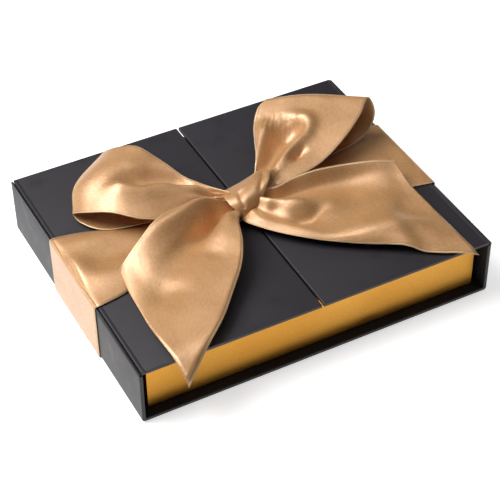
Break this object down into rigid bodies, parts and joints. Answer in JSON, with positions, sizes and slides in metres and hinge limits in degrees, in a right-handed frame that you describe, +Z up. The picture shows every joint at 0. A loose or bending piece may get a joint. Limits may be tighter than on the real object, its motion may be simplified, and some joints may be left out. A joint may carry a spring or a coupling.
{
  "type": "gift box",
  "caption": "Gatefold gift box: black paper-covered case with two hinged lids over a gold tray, tied with a wide satin ribbon and bow.",
  "frame": {"origin": "on the table under the middle of the case, on the ribbon's underside", "axes": "+X to the right, across the two lids; +Y to the back, along the slit between them; +Z up"},
  "size_m": [0.2174, 0.1853, 0.0655],
  "materials": {
    "black_paper": "soft-touch black cover paper",
    "lining_paper": "matt black lining paper",
    "greyboard": "raw greyboard",
    "corner_tape": "gummed paper corner tape",
    "gold_paper": "satin metallic gold paper",
    "satin_ribbon": "champagne gold satin with a woven edge"
  },
  "bodies": {
    "case": {"case_cover": "black_paper", "case_lining": "lining_paper", "base_board": "greyboard", "left_side_board": "greyboard", "right_side_board": "greyboard", "left_hinge_crease": "black_paper", "right_hinge_crease": "black_paper", "tray_front_board": "greyboard", "tray_back_board": "greyboard", "tray_left_board": "greyboard", "tray_right_board": "greyboard", "tray_floor_board": "greyboard", "tray_front_left_corner_tape": "corner_tape", "tray_back_left_corner_tape": "corner_tape", "tray_front_right_corner_tape": "corner_tape", "tray_back_right_corner_tape": "corner_tape", "tray_wrap": "gold_paper", "tray_lining": "gold_paper", "ribbon_under_band": "satin_ribbon", "ribbon_left_side_band": "satin_ribbon", "ribbon_right_side_band": "satin_ribbon"},
    "left_lid": {"left_lid_cover": "black_paper", "left_lid_board": "greyboard", "left_lid_lining": "lining_paper", "ribbon_left_top_band": "satin_ribbon", "bow_knot": "satin_ribbon", "bow_left_loop": "satin_ribbon", "bow_right_loop": "satin_ribbon", "bow_left_tail": "satin_ribbon", "bow_right_tail": "satin_ribbon"},
    "right_lid": {"right_lid_cover": "black_paper", "right_lid_board": "greyboard", "right_lid_lining": "lining_paper", "ribbon_right_top_band": "satin_ribbon"}
  },
  "joints": [
    {"name": "left_lid_hinge", "type": "hinge", "parent": "case", "child": "left_lid", "pos_m": [-0.1074, 0, 0.0359], "axis": [0, -1, 0], "range_deg": [0, 180]},
    {"name": "right_lid_hinge", "type": "hinge", "parent": "case", "child": "right_lid", "pos_m": [0.1074, 0, 0.0359], "axis": [0, 1, 0], "range_deg": [0, 180]}
  ],
  "couplings": [
    {"joint": "right_lid_hinge", "follows": "left_lid_hinge", "ratio": 1}
  ]
}
